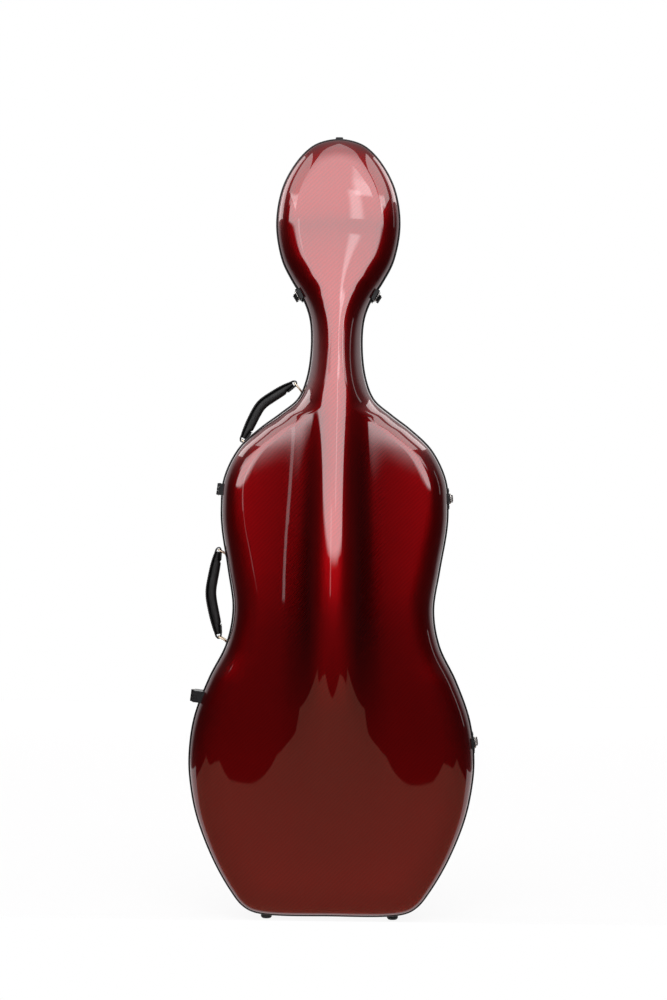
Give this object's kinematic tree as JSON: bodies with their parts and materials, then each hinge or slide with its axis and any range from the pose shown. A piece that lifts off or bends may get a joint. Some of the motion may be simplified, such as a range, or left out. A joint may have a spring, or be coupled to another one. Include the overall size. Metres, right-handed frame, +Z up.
{
  "type": "cello hard case",
  "caption": "Full-size cello hard case of two hinged fibre shells with draw latches, carrying handles, feet and a padded interior.",
  "frame": {"origin": "on the floor, below the middle of the case's width and depth", "axes": "+Z up the case, +X to the right seen from the lid side, -Y towards the lid"},
  "size_m": [0.4993, 0.2846, 1.349],
  "materials": {
    "red_lacquer": "deep red gloss lacquer over woven fibre",
    "black_edging": "satin black extruded edging",
    "grey_pile": "short dark grey pile over foam",
    "webbing": "black woven webbing",
    "black_leather": "smooth black leather, satin",
    "wire": "warm plated wire",
    "black_metal": "black coated metal",
    "rubber": "black moulded rubber",
    "nickel": "bright nickel plate"
  },
  "bodies": {
    "base": {"base_shell": "red_lacquer", "base_rim": "black_edging", "seal_strip": "rubber", "base_lining": "grey_pile", "upper_hinge_base_leaf": "black_metal", "upper_hinge_pin": "nickel", "lower_hinge_base_leaf": "black_metal", "lower_hinge_pin": "nickel", "upper_latch_plate": "black_metal", "upper_latch_pin": "nickel", "lower_latch_plate": "black_metal", "lower_latch_pin": "nickel", "right_neck_latch_plate": "black_metal", "right_neck_latch_pin": "nickel", "left_neck_latch_plate": "black_metal", "left_neck_latch_pin": "nickel", "upper_handle_top_bracket": "nickel", "upper_handle_bottom_bracket": "nickel", "lower_handle_top_bracket": "nickel", "lower_handle_bottom_bracket": "nickel", "front_left_foot": "rubber", "front_right_foot": "rubber", "rear_left_foot": "rubber", "rear_right_foot": "rubber", "head_buffer": "rubber", "foot_pad": "grey_pile", "left_waist_pad": "grey_pile", "right_waist_pad": "grey_pile", "left_shoulder_pad": "grey_pile", "right_shoulder_pad": "grey_pile", "neck_cradle": "grey_pile", "neck_strap": "webbing"},
    "lid": {"lid_shell": "red_lacquer", "lid_rim": "black_edging", "lid_lining": "grey_pile", "upper_hinge_lid_leaf": "black_metal", "lower_hinge_lid_leaf": "black_metal", "upper_latch_keeper": "black_metal", "lower_latch_keeper": "black_metal", "right_neck_latch_keeper": "black_metal", "left_neck_latch_keeper": "black_metal", "left_bow_clip_post": "rubber", "right_bow_clip_post": "rubber"},
    "upper_latch_lever": {"upper_latch_lever": "nickel"},
    "upper_latch_bail": {"upper_latch_bail": "nickel"},
    "lower_latch_lever": {"lower_latch_lever": "nickel"},
    "lower_latch_bail": {"lower_latch_bail": "nickel"},
    "right_neck_latch_lever": {"right_neck_latch_lever": "black_metal"},
    "right_neck_latch_bail": {"right_neck_latch_bail": "nickel"},
    "left_neck_latch_lever": {"left_neck_latch_lever": "black_metal"},
    "left_neck_latch_bail": {"left_neck_latch_bail": "nickel"},
    "upper_handle_top_ring": {"upper_handle_top_ring": "wire"},
    "upper_handle_grip": {"upper_handle_grip": "black_leather"},
    "upper_handle_bottom_ring": {"upper_handle_bottom_ring": "wire"},
    "lower_handle_top_ring": {"lower_handle_top_ring": "wire"},
    "lower_handle_grip": {"lower_handle_grip": "black_leather"},
    "lower_handle_bottom_ring": {"lower_handle_bottom_ring": "wire"},
    "left_bow_clip_bar": {"left_bow_clip_bar": "rubber"},
    "right_bow_clip_bar": {"right_bow_clip_bar": "rubber"}
  },
  "joints": [
    {"name": "lid_swing", "type": "hinge", "parent": "base", "child": "lid", "pos_m": [-0.23985, -0.01567, 0.38531], "axis": [-0.1135, 0, -0.9935], "range_deg": [0, 105]},
    {"name": "upper_latch_lever_hinge", "type": "hinge", "parent": "base", "child": "upper_latch_lever", "pos_m": [0.20127, -0.00167, 0.72907], "axis": [0.0389, 0, -0.9992], "range_deg": [0, 115]},
    {"name": "upper_latch_bail_hinge", "type": "hinge", "parent": "upper_latch_lever", "child": "upper_latch_bail", "pos_m": [0.19867, 0.00533, 0.72897], "axis": [0.0389, 0, -0.9992], "range_deg": [-172.5, 0]},
    {"name": "lower_latch_lever_hinge", "type": "hinge", "parent": "base", "child": "lower_latch_lever", "pos_m": [0.24937, -0.00167, 0.3104], "axis": [0.1035, 0, -0.9946], "range_deg": [0, 115]},
    {"name": "lower_latch_bail_hinge", "type": "hinge", "parent": "lower_latch_lever", "child": "lower_latch_bail", "pos_m": [0.24678, 0.00533, 0.31013], "axis": [0.1035, 0, -0.9946], "range_deg": [-172.5, 0]},
    {"name": "right_neck_latch_lever_hinge", "type": "hinge", "parent": "base", "child": "right_neck_latch_lever", "pos_m": [0.07088, -0.00167, 1.07325], "axis": [-0.5267, 0, -0.85], "range_deg": [0, 115]},
    {"name": "right_neck_latch_bail_hinge", "type": "hinge", "parent": "right_neck_latch_lever", "child": "right_neck_latch_bail", "pos_m": [0.06867, 0.00533, 1.07462], "axis": [-0.5267, 0, -0.85], "range_deg": [-172.5, 0]},
    {"name": "left_neck_latch_lever_hinge", "type": "hinge", "parent": "base", "child": "left_neck_latch_lever", "pos_m": [-0.07088, -0.00167, 1.07325], "axis": [-0.5267, 0, 0.85], "range_deg": [0, 115]},
    {"name": "left_neck_latch_bail_hinge", "type": "hinge", "parent": "left_neck_latch_lever", "child": "left_neck_latch_bail", "pos_m": [-0.06867, 0.00533, 1.07462], "axis": [-0.5267, 0, 0.85], "range_deg": [-172.5, 0]},
    {"name": "upper_handle_top_ring_hinge", "type": "hinge", "parent": "base", "child": "upper_handle_top_ring", "pos_m": [-0.0596, 0.01933, 0.91104], "axis": [0, -1, 0], "range_deg": [-14, 0]},
    {"name": "upper_handle_grip_hinge", "type": "hinge", "parent": "upper_handle_top_ring", "child": "upper_handle_grip", "pos_m": [-0.07207, 0.01933, 0.9259], "axis": [0, -1, 0], "range_deg": [0, 14]},
    {"name": "upper_handle_bottom_ring_hinge", "type": "hinge", "parent": "base", "child": "upper_handle_bottom_ring", "pos_m": [-0.15648, 0.01933, 0.82029], "axis": [0, -1, 0], "range_deg": [-34.86, 0]},
    {"name": "lower_handle_top_ring_hinge", "type": "hinge", "parent": "base", "child": "lower_handle_top_ring", "pos_m": [-0.18621, 0.01933, 0.62813], "axis": [0, -1, 0], "range_deg": [-25, 45]},
    {"name": "lower_handle_grip_hinge", "type": "hinge", "parent": "lower_handle_top_ring", "child": "lower_handle_grip", "pos_m": [-0.19998, 0.01933, 0.63589], "axis": [0, -1, 0], "range_deg": [-45, 25]},
    {"name": "lower_handle_bottom_ring_hinge", "type": "hinge", "parent": "base", "child": "lower_handle_bottom_ring", "pos_m": [-0.18434, 0.01933, 0.47802], "axis": [0, -1, 0], "range_deg": [-25, 45]},
    {"name": "left_bow_clip_turn", "type": "hinge", "parent": "lid", "child": "left_bow_clip_bar", "pos_m": [-0.09489, -0.05337, 0.33074], "axis": [0, 1, 0], "range_deg": [0, 90]},
    {"name": "right_bow_clip_turn", "type": "hinge", "parent": "lid", "child": "right_bow_clip_bar", "pos_m": [0.09489, -0.05337, 0.33074], "axis": [0, 1, 0], "range_deg": [0, 90]}
  ],
  "couplings": [
    {"joint": "upper_latch_bail_hinge", "follows": "upper_latch_lever_hinge", "ratio": -1.5},
    {"joint": "lower_latch_bail_hinge", "follows": "lower_latch_lever_hinge", "ratio": -1.5},
    {"joint": "right_neck_latch_bail_hinge", "follows": "right_neck_latch_lever_hinge", "ratio": -1.5},
    {"joint": "left_neck_latch_bail_hinge", "follows": "left_neck_latch_lever_hinge", "ratio": -1.5},
    {"joint": "upper_handle_grip_hinge", "follows": "upper_handle_top_ring_hinge", "ratio": -1},
    {"joint": "upper_handle_bottom_ring_hinge", "follows": "upper_handle_top_ring_hinge", "ratio": 2.49},
    {"joint": "lower_handle_grip_hinge", "follows": "lower_handle_top_ring_hinge", "ratio": -1},
    {"joint": "lower_handle_bottom_ring_hinge", "follows": "lower_handle_top_ring_hinge", "ratio": 1}
  ]
}
